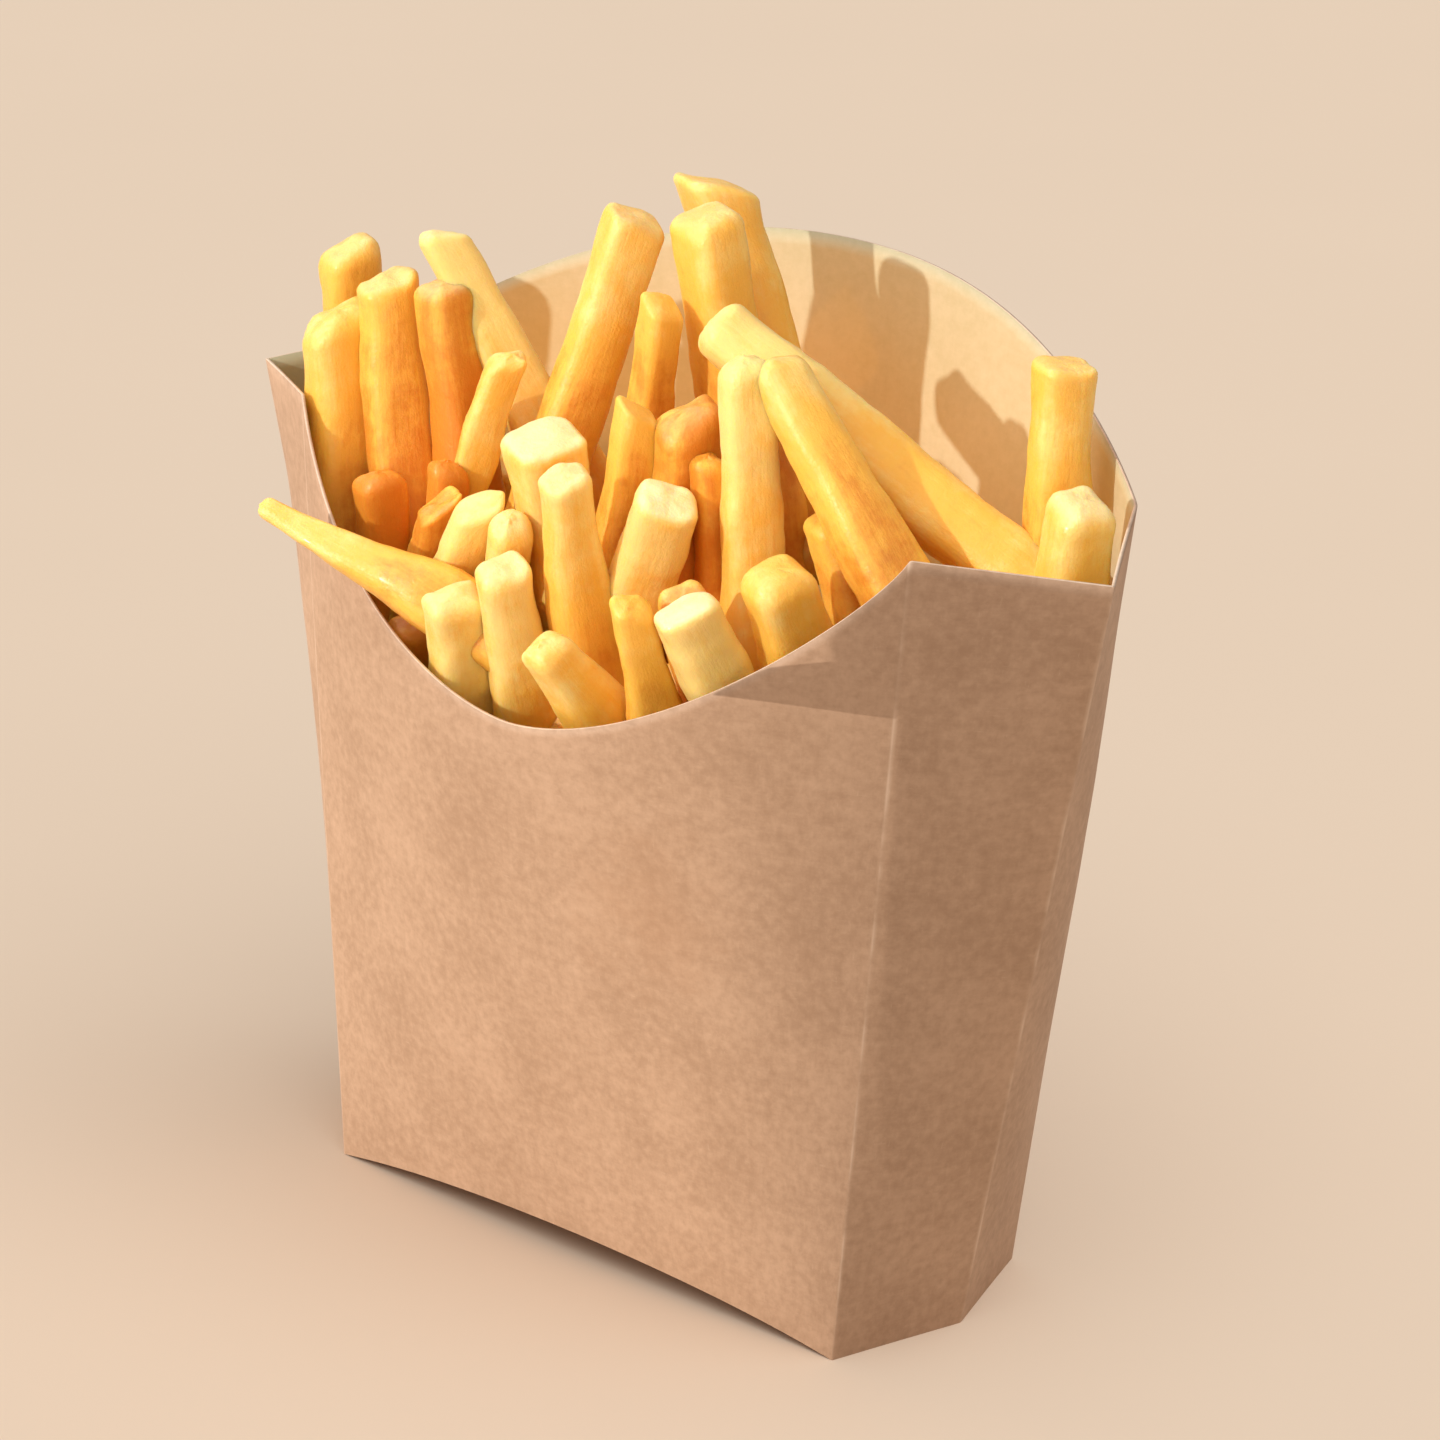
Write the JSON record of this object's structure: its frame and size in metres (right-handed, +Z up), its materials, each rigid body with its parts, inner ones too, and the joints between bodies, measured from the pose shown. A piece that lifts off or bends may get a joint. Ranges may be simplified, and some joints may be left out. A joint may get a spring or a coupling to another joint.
{
  "type": "french fries in a carton",
  "caption": "French fries standing in a folded kraft paperboard scoop carton with bowed front and back panels and creased gusset sides.",
  "frame": {"origin": "on the table under the middle of the carton's mouth", "axes": "+Z up, -Y towards the low scooped front, +X to the right seen from the front"},
  "size_m": [0.168, 0.0817, 0.1616],
  "materials": {
    "kraft_board": "brown kraft paperboard, matt, with fine fibres",
    "fried_potato": "golden fried potato, matt with a light film of oil"
  },
  "bodies": {
    "root": {"carton": "kraft_board", "fries": "fried_potato"}
  },
  "joints": []
}
